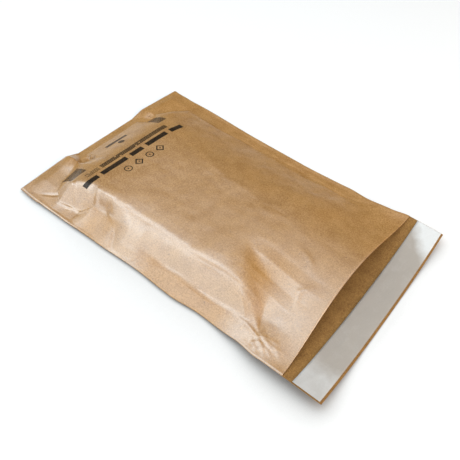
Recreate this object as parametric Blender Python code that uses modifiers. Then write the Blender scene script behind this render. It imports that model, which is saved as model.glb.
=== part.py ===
"""Kraft paper mailing bag, lying on its back panel with its mouth open and its flap flat.

One sheet makes the whole bag: a front panel, a back panel with a lengthwise glued lap, a closed end
that is folded over onto the back, and a flap with a strip of glue under a release liner. The body
is puffed up, with flat wings along both sides and a tucked corner on each side of the closed end.

+X runs from the closed end to the flap, Y runs across the bag, and +Z is up. The origin is on the
floor, below the middle of the bag's box. All sizes are in metres.
"""
import math

import bmesh
import bpy

# The sheet
WIDTH = 0.250                # across the bag, over its side folds
PANEL_LENGTH = 0.347         # closed end to mouth, along the middle of the back
FLAP_LENGTH = 0.040          # mouth to the end of the flap
PAPER = 0.0003               # one layer
SEAM_LAP = 0.024             # width of the lengthwise lap on the back
END_LAP = 0.028              # how far the closed end is folded over onto the back
FOLD_GAP = 0.0008            # inner gap left beside a side fold
FOLD_DEPTH = 0.0012          # distance over which the two panels part at a fold
LAP_STEP = 0.0005            # width of the step at the edge of a lap

# The puffed body
BODY_HEIGHT = 0.029          # top of the front panel above the floor
NEAR_WING = 0.0245           # flat strip beside the near side fold
FAR_WING = 0.0195            # flat strip beside the far side fold
WING_LIFT = 0.0036           # height of the front panel over the back where a wing ends
SIDE_LIFT = 0.0016           # height of the side folds along the body
NEAR_RIDGE = 0.0390          # near side fold to the ridge of the body
FAR_SLOPE = 0.0620           # run of the gentle flank at the far side
DIMPLE = 0.088               # closed end to the middle of the dimple in the near flank
DIMPLE_LIFT = 0.0125         # height of the dimple's upper edge over the back
TONGUE = 0.012               # flat strip at the middle of the closed end
END_SLOPE = 0.046            # run of the flank above the tongue
BODY_START = 0.165           # closed end to where the rows cross the body squarely

# The tucked corners at the closed end
NEAR_TUCK = 0.043            # half width of the low middle, near side
FAR_TUCK = 0.045             # half width of the low middle, far side
TUCK_WALL = 0.018            # width of the steep facet beside the low middle
TUCK_DEPTH = 0.020           # how far a tuck reaches into the bag
NEAR_EAR = 0.0065            # height of the near ear
FAR_EAR = 0.0048             # height of the far ear
EAR_REACH = 0.070            # distance over which an ear settles
CORNER_SLOPE = 0.026         # run of the flanks above the tucks
NEAR_SLANT = 0.31            # slant of the near corner's foot, along the bag for each unit across
FAR_SLANT = 0.55             # slant of the far corner's foot

# The mouth
MOUTH_HEIGHT = 0.026         # middle of the front edge above the floor
MOUTH_CURL = 0.0105          # rise of the side folds at the mouth
MOUTH_SETBACK = 0.0075       # how far the middle of the front edge lies back
FALL_REACH = 0.107           # mouth to the end of the crease where the body falls towards it
CURL_LENGTH = 0.095          # length over which the side folds rise to the mouth
SIDE_SETBACK = 0.002         # how far the raised sides of the flap lie back

# The strips on the flap
LINER_WIDTH = 0.0280         # along the flap
LINER_MARGIN = 0.0022        # bare paper between the liner and the end of the flap
LINER_SIDE = 0.0010          # bare paper at the ends of the liner
LINER_PAPER = 0.00025        # thickness of the liner
GLUE_WIDTH = 0.0200          # along the flap
GLUE_SIDE = 0.0060           # liner beyond each end of the glue
GLUE_THICKNESS = 0.00025     # thickness of the glue
CLEARANCE = 0.0003           # gap between one layer and the next

# How tightly the curved stretches bend: a higher number is tighter
SIDE_TIGHTNESS = 12          # rise of the side folds along the body
CURL_TIGHTNESS = 3.2         # rise of the side folds at the mouth
BODY_TIGHTNESS = 4           # shoulder where the flanks meet the top
LENS_TIGHTNESS = 1.3         # arch of the front edge at the mouth
SETBACK_TIGHTNESS = 1.6      # how far the front edge lies back
FALL_TIGHTNESS = 1.5         # the near side's fall towards the mouth
CORNER_BLEND = 0.08          # rounding where two flanks meet, as a share of the rise
CORNER_COLUMN = 0.15         # start of the far ridge column, as a share from tuck to far wing

HALF = WIDTH / 2 - PAPER
LENGTH = PANEL_LENGTH + FLAP_LENGTH
CREASE_ANGLE = math.radians(25)


def clamp(value):
    return min(max(value, 0.0), 1.0)


def smooth(value):
    value = clamp(value)
    return value * value * (3 - 2 * value)


def blend(a, b, share):
    return a + (b - a) * share


def along(points, place, ease=clamp):
    """The value at a place on a line through hand-set (place, value) points."""
    if place <= points[0][0]:
        return points[0][1]
    for (p0, v0), (p1, v1) in zip(points, points[1:]):
        if place <= p1:
            return blend(v0, v1, ease((place - p0) / (p1 - p0)))
    return points[-1][1]


def soft_min(values, soft):
    """The least of the values, rounded where two of them meet."""
    least = min(values)
    return least - soft * math.log(sum(math.exp((least - v) / soft) for v in values))


def near_fold(x):
    """Y of the near side fold, drawn in where the body is puffed up."""
    waves = [(0, 0), (0.06, -0.001), (0.18, 0), (0.32, 0.0018), (0.49, 0.0040), (0.62, 0.0026),
             (0.72, 0.0056), (0.84, 0.0040), (0.92, 0.0004), (1, 0)]
    return along(waves, x / PANEL_LENGTH, smooth) - HALF


def far_fold(x):
    waves = [(0, 0), (0.06, 0.0018), (0.15, 0.0006), (0.41, 0.0030), (0.60, 0.0028),
             (0.78, 0), (0.87, 0.0040), (0.94, 0.0034), (1, 0)]
    return HALF - along(waves, x / PANEL_LENGTH, smooth)


def across_share(x, y):
    """Place between the side folds, from -1 at the near one to 1 at the far one."""
    near, far = near_fold(x), far_fold(x)
    return 2 * (y - near) / (far - near) - 1


def tuck_lines(x, y):
    """Foot and top of the facet that stands beside the low middle of the closed end.

    The facet is steepest at the depth of the tuck, and opens out again beyond it.
    """
    tuck = NEAR_TUCK if y < 0 else FAR_TUCK
    depth = x / TUCK_DEPTH
    steep = depth if depth < 1 else max(2 - depth, -1)
    return tuck + TUCK_WALL * 0.8 * steep, tuck + TUCK_WALL


def ear_height(x, y):
    """Rise of both panels beside the tucks at the closed end."""
    foot, top = tuck_lines(x, y)
    height = NEAR_EAR if y < 0 else FAR_EAR
    corner = 0.25
    if abs(y) >= top:
        share = blend(1, corner, (abs(y) - top) / (HALF - top))
    else:
        share = clamp((abs(y) - foot) / (top - foot))
    return height * share * (1 - smooth(x / EAR_REACH))


def side_curl(x, across):
    """Rise of both panels towards the side folds."""
    to_mouth = smooth((x - PANEL_LENGTH + CURL_LENGTH) / CURL_LENGTH)
    low = SIDE_LIFT * smooth(x / EAR_REACH) * abs(across) ** SIDE_TIGHTNESS
    high = MOUTH_CURL * abs(across) ** CURL_TIGHTNESS
    return blend(low, high, to_mouth)


def floor_level(x):
    """Height of the inner face where its laps rest on the floor."""
    return PAPER * blend(3, 2, smooth((x - END_LAP) / END_LAP))


def back_height(x, y):
    """Inner face of the back panel and of the flap."""
    return floor_level(x) + ear_height(x, y) + side_curl(x, across_share(x, y))


def near_crease(x):
    """Inset from the near fold, and lift over the back, of the crease below the near flank.

    The crease swings out round the puffed corner, in and up round the dimple, and out again to
    the fold before it runs on beside the flank.
    """
    insets = [(0.35, 1.0), (0.53, 0.54), (0.68, 0.66), (0.83, 0.74), (0.96, 1.10), (1.15, 1.18),
              (1.35, 0.86), (1.47, 0.54), (1.57, 0.40), (1.75, 0.40), (2.20, 0.78), (3.40, 0.76)]
    lifts = [(0.83, 0), (0.96, 1), (1.35, 0.95), (1.47, 0.6), (1.57, 0.5)]
    place = x / DIMPLE
    return NEAR_WING * along(insets, place), blend(WING_LIFT, DIMPLE_LIFT, along(lifts, place))


def wing_lift(x, y):
    """Height of the front panel over the back in the wings, carried on below the body."""
    inset, lift = near_crease(x)
    from_near = y - near_fold(x)
    from_far = far_fold(x) - y
    near = lift * clamp(from_near / inset)
    far = WING_LIFT * clamp(from_far / FAR_WING)
    wing = blend(near, far, smooth(y / HALF + 0.5)) * clamp(x / TONGUE)
    return max(wing, FOLD_GAP * clamp(min(x, from_near, from_far) / FOLD_DEPTH))


def tuck_shift(y):
    """How much further from the closed end the foot of the corner's flank lies than the tuck."""
    slant = NEAR_SLANT if y < 0 else FAR_SLANT
    return slant * max(abs(y) - tuck_lines(TUCK_DEPTH, y)[1], 0)


def body_share(x, y):
    """Share of the body's full rise, from 0 at its foot to 1 on its top."""
    inset = near_crease(x)[0]
    corner = (x - TUCK_DEPTH - tuck_shift(y)) / CORNER_SLOPE if abs(y) > NEAR_TUCK else 9
    steps = [
        (y - near_fold(x) - inset) / (NEAR_RIDGE - inset),
        (far_fold(x) - FAR_WING - y) / FAR_SLOPE,
        (x - TONGUE) / END_SLOPE,
        corner,
    ]
    step = max(soft_min(steps, CORNER_BLEND), 0)
    return step / (1 + step ** BODY_TIGHTNESS) ** (1 / BODY_TIGHTNESS)


def fall_start(y):
    """Where the body starts to fall towards the mouth."""
    lines = [(-1, 0.58), (-0.82, 0.53), (-0.70, 0.70), (-0.52, 0.87), (-0.36, 0.94), (-0.26, 1.0),
             (0, 1.07), (0.5, 0.95), (1, 0.58)]
    return PANEL_LENGTH - FALL_REACH * along(lines, y / HALF)


def fall_end(y):
    """The crease where that fall ends at the near side."""
    lines = [(-1, 0.38), (-0.82, 0.38), (-0.64, 0.47), (-0.48, 0.56), (-0.36, 0.76), (-0.26, 0.91),
             (0, 1.0), (0.5, 0.80), (1, 0.38)]
    return PANEL_LENGTH - FALL_REACH * along(lines, y / HALF)


def mouth_share(x, y):
    """How far the section has turned from the puffed body to the open mouth."""
    start = fall_start(y)
    fall = clamp((x - start) / (fall_end(y) - start)) ** FALL_TIGHTNESS
    gentle = smooth((x - start) / (PANEL_LENGTH - start))
    return blend(gentle, fall, smooth(-y / HALF * 5 - 1.2))


def front_height(x, y):
    """Inner face of the front panel."""
    back = back_height(x, y)
    wing = back + wing_lift(x, y)
    body = wing + (BODY_HEIGHT - wing) * body_share(x, y)
    across = across_share(x, y)
    gap = FOLD_GAP * clamp((1 - abs(across)) * HALF / FOLD_DEPTH)
    swell = max(1 - across * across, 0) ** LENS_TIGHTNESS
    lens = back + gap + (MOUTH_HEIGHT - back - gap) * swell
    return blend(body, lens, mouth_share(x, y))


def back_point(place, column):
    """A point of the back panel or the flap, by its distance from the closed end and its column."""
    x = min(place, PANEL_LENGTH)
    across = column["end"] / HALF
    y = blend(near_fold(x), far_fold(x), (across + 1) / 2)
    setback = SIDE_SETBACK * across ** 2 * smooth(x / PANEL_LENGTH)
    z = floor_level(x) + ear_height(x, y) + side_curl(place, across)
    return place - setback, y, z


def front_x(place, y):
    """Bends a row of the front panel so that it follows the tucks and the fall to the mouth."""
    from_fold = min(y - near_fold(place), far_fold(place) - y) - FOLD_DEPTH
    fold_share = clamp(from_fold / (FAR_WING - FOLD_DEPTH))
    rows = [
        (0, 0),
        (TUCK_DEPTH, TUCK_DEPTH + tuck_shift(y) * fold_share),
        (BODY_START, BODY_START),
        (fall_start(HALF), fall_start(y)),
        (fall_end(HALF), fall_end(y)),
        (PANEL_LENGTH, PANEL_LENGTH),
    ]
    return along(rows, place)


def front_y(x, column):
    """Bends a column of the front panel so that it follows the tucks and the flanks."""
    near, far = near_fold(x), far_fold(x)
    bend = [
        (-HALF, near),
        (NEAR_WING - HALF, near + near_crease(x)[0]),
        (NEAR_RIDGE - HALF, near + NEAR_RIDGE),
        (HALF - FAR_WING - FAR_SLOPE, far - FAR_WING - FAR_SLOPE),
        (HALF, far),
    ]
    body = along(bend, column["body"])
    if x <= TUCK_DEPTH:
        return blend(column["end"], column["tuck"], x / TUCK_DEPTH)
    return blend(column["tuck"], body, smooth((x - TUCK_DEPTH) / TUCK_DEPTH))


def front_point(place, column):
    y = front_y(place, column)
    x = front_x(place, y)
    y = front_y(x, column)
    across = across_share(x, y)
    swell = max(1 - across * across, 0) ** SETBACK_TIGHTNESS
    setback = blend(SIDE_SETBACK, MOUTH_SETBACK, swell) * smooth(x / PANEL_LENGTH)
    return x - setback, y, front_height(x, y)


def spread(start, end, count):
    return [blend(start, end, step / count) for step in range(count)]


def row_places():
    """Distances from the closed end of the rows that cross the panels."""
    rows = [0, FOLD_DEPTH] + spread(TONGUE / 2, TUCK_DEPTH, 2) + [TUCK_DEPTH, END_LAP]
    rows = rows + spread(END_LAP + LAP_STEP, BODY_START, 14)
    rows = rows + spread(BODY_START, fall_start(HALF), 4)
    rows = rows + spread(fall_start(HALF), fall_end(HALF), 4)
    return rows + spread(fall_end(HALF), PANEL_LENGTH, 5) + [PANEL_LENGTH]


def column_places():
    """The columns that run along the panels, from the near fold to the far fold.

    Each has its Y at the closed end and all along the back, its Y on the front panel at the depth
    of the tucks, and its Y on the body before the folds and the flanks bend it.
    """
    lap = SEAM_LAP / 2
    near_ridge = NEAR_RIDGE - HALF
    far_ridge = HALF - FAR_WING - FAR_SLOPE
    near_side = [-HALF, FOLD_DEPTH - HALF, NEAR_WING - HALF, near_ridge]
    far_side = [HALF - FAR_WING, HALF - FOLD_DEPTH, HALF]
    far_corner = blend(FAR_TUCK + TUCK_WALL, HALF - FAR_WING, CORNER_COLUMN)
    ends = near_side + [-NEAR_TUCK - TUCK_WALL, -NEAR_TUCK, -lap - LAP_STEP, -lap, lap,
                        lap + LAP_STEP, FAR_TUCK, FAR_TUCK + TUCK_WALL, far_corner] + far_side
    near_foot = -tuck_lines(TUCK_DEPTH, -1)[0]
    far_foot = tuck_lines(TUCK_DEPTH, 1)[0]
    middle = [blend(near_foot, far_foot, share) for share in (0, 0.3, 0.4, 0.6, 0.7, 1)]
    tucks = ends[:5] + middle + ends[11:]
    bodies = near_side + spread(near_ridge, far_ridge, 9)[1:] + [far_ridge] + far_side
    counts = [1, 2, 3, 3, 2, 2, 1, 2, 1, 2, 2, 2, 4, 2, 1]
    columns = []
    for i, count in enumerate(counts):
        for share in spread(0, 1, count):
            columns.append({"end": blend(ends[i], ends[i + 1], share),
                            "tuck": blend(tucks[i], tucks[i + 1], share),
                            "body": blend(bodies[i], bodies[i + 1], share)})
    columns.append({"end": HALF, "tuck": HALF, "body": HALF})
    return columns


def layer_share(place, column):
    """Layers of paper in the back panel at a point, as a share of three."""
    if place <= END_LAP:
        return 1.0
    return 2 / 3 if abs(column["end"]) <= SEAM_LAP / 2 + LAP_STEP / 4 else 1 / 3


def lay_out(mesh, weights, rows, columns, point, share, known):
    """Adds the points of one panel, but for those already known, and returns them row by row."""
    lines = []
    for i, place in enumerate(rows):
        line = []
        for j, column in enumerate(columns):
            vert = known.get((i, j))
            if vert is None:
                vert = mesh.verts.new(point(place, column))
                vert[weights][0] = share(place, column)
            line.append(vert)
        lines.append(line)
    return lines


def add_faces(mesh, lines, upward):
    """Joins the lines with faces, split so that none folds flat at a corner of the closed end."""
    for before, after in zip(lines, lines[1:]):
        for i in range(len(before) - 1):
            corners = [before[i], after[i], after[i + 1], before[i + 1]]
            if i >= len(before) // 2:
                corners = corners[1:] + corners[:1]
            mesh.faces.new(corners if upward else corners[:1] + corners[:0:-1])


def make_material(name, colour, roughness):
    material = bpy.data.materials.new(name)
    material.use_nodes = True
    shader = material.node_tree.nodes["Principled BSDF"]
    shader.inputs["Base Color"].default_value = (*colour, 1)
    shader.inputs["Roughness"].default_value = roughness
    shader.inputs["Metallic"].default_value = 0
    return material


def make_object(name, mesh, collection, material):
    """Turns a bmesh into a named object, moved so that the origin is below the bag's middle."""
    for vert in mesh.verts:
        vert.co.x -= LENGTH / 2
    data = bpy.data.meshes.new(name)
    mesh.to_mesh(data)
    mesh.free()
    data.shade_smooth()
    data.set_sharp_from_angle(angle=CREASE_ANGLE)
    data.materials.append(material)
    piece = bpy.data.objects.new(name, data)
    collection.objects.link(piece)
    return piece


def thicken(piece, thickness, layers=None):
    """Gives an open sheet its wall, on the side that its faces look to."""
    wall = piece.modifiers.new("Wall", "SOLIDIFY")
    wall.thickness = thickness
    wall.offset = 1
    wall.use_even_offset = False
    if layers:
        wall.vertex_group = layers
        wall.thickness_vertex_group = 0


def make_bag(collection, material):
    """The folded sheet: two panels that share their side folds and closed end, and the flap."""
    mesh = bmesh.new()
    weights = mesh.verts.layers.deform.new()
    rows = row_places()
    columns = column_places()
    flap_rows = [PANEL_LENGTH + FLAP_LENGTH * step / 5 for step in range(1, 6)]
    back = lay_out(mesh, weights, rows + flap_rows, columns, back_point, layer_share, {})
    add_faces(mesh, back, upward=False)
    last = len(columns) - 1
    shared = {(0, j): vert for j, vert in enumerate(back[0])}
    for i in range(len(rows)):
        shared[(i, 0)] = back[i][0]
        shared[(i, last)] = back[i][last]
    front = lay_out(mesh, weights, rows, columns, front_point, lambda *_: 1 / 3, shared)
    add_faces(mesh, front, upward=True)
    piece = make_object("paper_bag", mesh, collection, material)
    piece.vertex_groups.new(name="layers")
    thicken(piece, 3 * PAPER, "layers")
    return piece


def make_strip(name, start, length, side, bottom, thickness, collection, material):
    """A strip laid on the flap, at the height bottom above its paper."""
    mesh = bmesh.new()
    weights = mesh.verts.layers.deform.new()
    rows = [start + length * step / 3 for step in range(4)]
    reach = 1 - side / HALF
    columns = [{"end": column["end"] * reach} for column in column_places()]

    def point(place, column):
        x, y, z = back_point(place, column)
        return x, y, z + bottom

    lines = lay_out(mesh, weights, rows, columns, point, lambda *_: 1, {})
    add_faces(mesh, lines, upward=True)
    piece = make_object(name, mesh, collection, material)
    thicken(piece, thickness)
    return piece


def clear_scene():
    for piece in list(bpy.data.objects):
        bpy.data.objects.remove(piece)


def make_mailer():
    clear_scene()
    collection = bpy.data.collections.new("paper_mailer")
    bpy.context.scene.collection.children.link(collection)
    kraft = make_material("kraft_paper", (0.42, 0.25, 0.12), 0.55)
    glue = make_material("hot_melt_glue", (0.75, 0.70, 0.55), 0.35)
    liner = make_material("liner_paper", (0.80, 0.79, 0.78), 0.40)
    make_bag(collection, kraft)
    liner_start = LENGTH - LINER_MARGIN - LINER_WIDTH
    glue_start = liner_start + (LINER_WIDTH - GLUE_WIDTH) / 2
    glue_side = LINER_SIDE + GLUE_SIDE
    make_strip("adhesive_strip", glue_start, GLUE_WIDTH, glue_side, CLEARANCE,
               GLUE_THICKNESS, collection, glue)
    liner_bottom = CLEARANCE + GLUE_THICKNESS + CLEARANCE
    make_strip("release_liner", liner_start, LINER_WIDTH, LINER_SIDE, liner_bottom,
               LINER_PAPER, collection, liner)


make_mailer()
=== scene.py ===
"""Looks of the kraft paper mailing bag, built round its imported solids.

The bag is made again as one fine sheet, on the same surface as its solid: a puffed front panel with
its creases, a flat back panel with its laps, the open mouth and the flap. The glue band and the
white release liner lie on the flap. Sizes are in metres, and places on the bag are measured from
the middle of its closed end: x towards the flap, y across the bag, z up.
"""
import math

import bpy
import numpy as np
from mathutils import Matrix, Vector


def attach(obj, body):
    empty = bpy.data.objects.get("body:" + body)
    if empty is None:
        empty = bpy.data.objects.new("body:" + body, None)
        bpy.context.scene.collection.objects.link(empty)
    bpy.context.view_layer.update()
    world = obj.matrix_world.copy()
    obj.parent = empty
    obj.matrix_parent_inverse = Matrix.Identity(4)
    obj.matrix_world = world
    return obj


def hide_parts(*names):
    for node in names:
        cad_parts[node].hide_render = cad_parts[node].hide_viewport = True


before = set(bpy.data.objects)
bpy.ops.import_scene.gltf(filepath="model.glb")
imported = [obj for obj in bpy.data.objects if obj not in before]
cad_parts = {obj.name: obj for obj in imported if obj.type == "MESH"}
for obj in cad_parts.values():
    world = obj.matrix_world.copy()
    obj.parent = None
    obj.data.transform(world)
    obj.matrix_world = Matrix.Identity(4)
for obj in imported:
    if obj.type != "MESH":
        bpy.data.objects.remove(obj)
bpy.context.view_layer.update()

# The sheet
WIDTH = 0.250         # across the bag, over its side folds
PANEL_LENGTH = 0.347  # closed end to mouth, along the middle of the back
FLAP_LENGTH = 0.040   # mouth to the end of the flap
PAPER = 0.0003        # one layer
SEAM_LAP = 0.024      # width of the lengthwise lap on the back
END_LAP = 0.028       # how far the closed end is folded over onto the back
FOLD_GAP = 0.0008     # inner gap left beside a side fold
FOLD_DEPTH = 0.0012   # distance over which the two panels part at a fold
LAP_STEP = 0.0005     # width of the step at the edge of a lap

# The puffed body
BODY_HEIGHT = 0.029   # top of the front panel above the floor
NEAR_WING = 0.0245    # flat strip beside the near side fold
FAR_WING = 0.0195     # flat strip beside the far side fold
WING_LIFT = 0.0036    # height of the front panel over the back where a wing ends
SIDE_LIFT = 0.0016    # height of the side folds along the body
NEAR_RIDGE = 0.0390   # near side fold to the ridge of the body
FAR_SLOPE = 0.0620    # run of the gentle flank at the far side
DIMPLE = 0.088        # closed end to the middle of the dimple in the near flank
DIMPLE_LIFT = 0.0125  # height of the dimple's upper edge over the back
TONGUE = 0.012        # flat strip at the middle of the closed end
END_SLOPE = 0.046     # run of the flank above the tongue
BODY_START = 0.165    # closed end to where the rows cross the body squarely

# The tucked corners at the closed end
NEAR_TUCK = 0.043     # half width of the low middle, near side
FAR_TUCK = 0.045      # half width of the low middle, far side
TUCK_WALL = 0.018     # width of the steep facet beside the low middle
TUCK_DEPTH = 0.020    # how far a tuck reaches into the bag
NEAR_EAR = 0.0065     # height of the near ear
FAR_EAR = 0.0048      # height of the far ear
EAR_REACH = 0.070     # distance over which an ear settles
CORNER_SLOPE = 0.026  # run of the flanks above the tucks
NEAR_SLANT = 0.31     # slant of the near corner's foot, along the bag for each unit across
FAR_SLANT = 0.55      # slant of the far corner's foot

# The mouth
MOUTH_HEIGHT = 0.026    # middle of the front edge above the floor
MOUTH_CURL = 0.0105     # rise of the side folds at the mouth
MOUTH_SETBACK = 0.0075  # how far the middle of the front edge lies back
FALL_REACH = 0.107      # mouth to the end of the crease where the body falls towards it
CURL_LENGTH = 0.095     # length over which the side folds rise to the mouth
SIDE_SETBACK = 0.002    # how far the raised sides of the flap lie back

# The strips on the flap
LINER_WIDTH = 0.0280   # along the flap
LINER_MARGIN = 0.0022  # bare paper between the liner and the end of the flap
LINER_SIDE = 0.0010    # bare paper at the ends of the liner
LINER_PAPER = 0.00025  # thickness of the liner
GLUE_WIDTH = 0.0200    # along the flap
GLUE_SIDE = 0.0060     # liner beyond each end of the glue
GLUE_THICKNESS = 0.00025  # thickness of the glue
CLEARANCE = 0.0003     # gap between one layer and the next

# How tightly the curved stretches bend: a higher number is tighter
SIDE_TIGHTNESS = 12      # rise of the side folds along the body
CURL_TIGHTNESS = 3.2     # rise of the side folds at the mouth
BODY_TIGHTNESS = 4       # shoulder where the flanks meet the top
LENS_TIGHTNESS = 1.3     # arch of the front edge at the mouth
SETBACK_TIGHTNESS = 1.6  # how far the front edge lies back
FALL_TIGHTNESS = 1.5     # the near side's fall towards the mouth
CORNER_BLEND = 0.08      # rounding where two flanks meet, as a share of the rise
CORNER_COLUMN = 0.15     # start of the far ridge column, as a share from tuck to far wing
TUCK_LEAN = 0.8          # how far a tuck's facet leans, as a share of its width
EAR_CORNER = 0.25        # height of an ear at the bag's corner, as a share of its top
FALL_FROM = 0.24         # where the near side's own fall takes over, as a share of HALF
FALL_RUN = 0.2           # and the distance over which it does
ON_TOP = 9               # a step that lies well past the shoulder of the body

# The fine mesh: greatest distances between two rows or columns of the front panel
NEAR_STEP = 0.0011     # columns of the near side, where long creases run
CREASED_STEP = 0.0013  # where the paper is creased: the tucks and the mouth
PLAIN_STEP = 0.0024    # elsewhere
STRIP_STEP = 0.0020    # along the strips on the flap
COARSE = 3             # the back panel has one row and column to so many of the front's
TUCK_STOPS = (0, 0.3, 0.4, 0.6, 0.7, 1)  # columns between the feet of the tucks, as shares

# Small forms that the solids leave out
EDGE_FADE = 0.004     # distance from an edge over which they fade in
MOUTH_FADE = 0.012    # the same at the mouth
FALL_SPOT = (0.290, -0.034)  # middle of the soft upper part of the fall towards the mouth
FALL_SPOT_REACH = 0.048
FALL_SOFTENING = 160  # rounds of smoothing there
RIDGE_REACH = 0.024   # reach to each side of the rounding along the near ridge
RIDGE_START = 0.100   # where along the bag that rounding starts and ends
RIDGE_END = 0.285
RIDGE_SOFTENING = 30  # rounds of smoothing there
COCKLE_SIZE = 0.024   # wide unevenness of the paper, and its height
COCKLE_HEIGHT = 0.00028
RIPPLE_SIZE = 0.008   # small unevenness, and its height
RIPPLE_HEIGHT = 0.00007
CRUSH_SIZE = 0.0055   # crushed paper at the near side, and its height
CRUSH_HEIGHT = 0.00022
SEED = 7
RANDOM_SIDE = 128     # random values along each side of the grid behind the unevenness

# Creases of the front panel, in millimetres: how far each reaches to its far and its near side, how
# sharp its line is, and its line through points (x, y, height). A negative height is a valley. On a
# line that runs across the bag, the far side is the one towards the closed end.
MILLIMETRES = 1000  # in a metre
CREASES = [
    # Ridge of the near flank, with its kink above the dimple
    (14, 12, 1.5, [
        (78, -84.5, 0), (90, -84.5, 1.2), (116, -86.2, 1), (123, -88.5, 0.4), (133, -85.8, 0.7),
        (171, -84.6, 0.4), (203, -85.4, 0.3), (252, -85.6, 0.5), (284, -88.7, 0.8)]),
    # Thin crease below the near flank
    (3, 3, 1, [
        (145, -112, 0), (162, -108.5, 0.6), (181, -105, 0.7), (208, -103, 0.7), (235, -103, 0.8),
        (258, -102.5, 0.8), (272, -101.5, 0.8), (290, -103.5, 0.6), (307, -108.5, 0.6),
        (317, -115, 0.5), (324, -121.5, 0)]),
    # Bulge of the near wing
    (18, 20, 1.3, [
        (250, -104, 0), (272, -103, 0.8), (290, -105, 1.8), (305, -107, 2.2), (325, -107, 1.4),
        (338, -107, 0.6)]),
    # Where the fall towards the mouth meets the near flank
    (6, 2.5, 1, [
        (283.8, -88.7, 0.6), (287, -92, 0.6), (296.7, -97.1, 0.6), (305.3, -103.2, 0.6),
        (309, -105, 0.4)]),
    # Crumples near the mouth
    (4, 2, 1, [(309, -105, 0.3), (318, -103.5, 0.4), (330, -103, 0)]),
    (4, 2, 1, [(308.5, -105.5, 0.3), (318, -109, 0.5), (332, -112, 0)]),
    (4, 2, 1, [(305, -107.5, 0.2), (314, -115, 0.5), (322, -120.5, 0)]),
    (4, 2, 1, [(300, -110, 0.2), (308, -116.5, 0.4), (313, -121.5, 0)]),
    (4, 2, 1, [(322, -107, 0), (328, -108.5, 0.4), (337, -116, 0)]),
    (3, 2, 1, [(314, -112, 0), (320, -113, 0.4), (329, -118.5, 0)]),
    (4, 6, 2, [
        (321, -33.6, 0), (316.7, -43.7, 0.8), (311.3, -48.9, 0.9), (313.7, -57.1, 0.5), (318, -64, 0)]),
    (6, 6, 2, [(285, -9, 0), (293.6, -11.2, 0.6), (302.5, -17.5, 0.6), (309, -27, 0)]),
    # Edge of the near tuck
    (11, 16, 1, [(2, -60, 2), (12, -63, 2.8), (20, -68, 2), (30, -74, 0)]),
    # Edge of the puffed near corner
    (3, 3, 1, [
        (47, -112.2, 0.4), (58.6, -110.5, 0.8), (66, -107.5, 0.8), (75.3, -107.3, 0.9),
        (78.8, -103.1, 0.9), (86.4, -97, 1), (90.4, -95.8, 1), (102.5, -94.7, 1), (114, -98.8, 0.8),
        (122.4, -102.1, 0)]),
    # Fold between the smooth near wing and the near flank
    (14, 4, 1, [(110, -97.5, 0), (122.4, -102.1, -1), (125.5, -106.8, -1.4), (131.6, -119, -0.8)]),
    # Streak, hollow and small facets of that corner
    (3, 3, 1, [(80.4, -84, 0.6), (83.3, -90.5, 1), (87, -96, 0.8)]),
    (8, 5, 1, [(80, -90.5, -0.3), (77.2, -98.5, -0.6), (75.5, -106, -0.3)]),
    (2, 3, 1, [(43, -86, 0), (50, -93, 0.6), (58, -98.5, 0.6), (69, -106, 0)]),
    (3, 10, 1, [(35, -90.7, 1.2), (49, -93, 1.2)]),
    (3, 4, 2, [(49, -93, 0), (45.4, -101.3, -0.9), (33.1, -110.6, -0.9), (20, -119, 0)]),
    # Soft crease across the top, beyond which the far flank starts
    (30, 22, 1.5, [
        (105, 40, 0), (120, 34, 0.7), (133, 30.6, 1), (148, 24.4, 1), (160, 22.2, 1), (187, 19.6, 0.8),
        (215, 18, 0)]),
    # Valley between the far flank and the far wing
    (4, 4, 2, [
        (52, 101, -0.6), (91, 99, -0.7), (125.6, 103.3, -0.7), (155, 104.9, -0.7), (194.7, 108.5, -0.6),
        (232.7, 107.9, -0.7), (274, 106.5, -0.7), (296, 111.5, -0.6), (318, 118, 0)]),
]

# Places on the front panel where the paper is crushed: (x, y, reach)
CRUSHED = [(0.07, -0.098, 0.03), (0.102, -0.091, 0.016), (0.16, -0.112, 0.02),
           (0.312, -0.108, 0.026), (0.28, -0.108, 0.016)]

HALF = WIDTH / 2 - PAPER
LENGTH = PANEL_LENGTH + FLAP_LENGTH

# Places of the bag's materials: each is followed by the one for the sheet's inner side
PRINTED_SIDE = 0
BARE_SIDE = 2

# Light
NEAR_HORIZON_LIGHT = 0.38  # the sky's low part on the near side, and on the far side
FAR_HORIZON_LIGHT = 0.04
ZENITH_LIGHT = 1.25
ZENITH_EDGE = 0.60  # sine of the height from which the sky grows brighter
HORIZON_TINT = (1.10, 1.00, 0.88, 1)
ZENITH_TINT = (0.88, 1.00, 1.08, 1)
COOL = (0.84, 1.00, 1.10)
WARM = (1.15, 1.00, 0.85)
NEUTRAL = (1, 1, 1)
LAMP_DISTANCE = 1.6
LAMPS = [  # name, direction from the bag, sides, watts and colour
    ("window", (-0.50, -0.72, 0.58), (3.6, 1.2), 16.5, COOL),
    ("ceiling", (-0.05, -0.10, 1.0), (1.2, 1.2), 1.1, COOL),
    ("fill", (0.9, -0.1, 0.45), (1.6, 1.2), 11, WARM),
    ("ridge_light", (-0.38, -0.24, 0.90), (0.7, 1.4), 3.8, COOL),
    ("back_fill", (0.8, 0.45, 0.6), (1.2, 1.2), 3, NEUTRAL),
]

# The floor
FLOOR_SIDE = 8
FLOOR_DEPTH = 0.0001  # how far it lies below the bag
FLOOR_ROUGHNESS = 0.9
FLOOR_GLOW = 0.15
SHADE_REACH = 0.120   # reach of the soft shade on it beside the bag
SHADE_SIDE = (-0.58, 0.62, 0.50)  # the side that this shade looks to
SHADE_DEPTH = 0.90
SHADE_SAMPLES = 16

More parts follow.
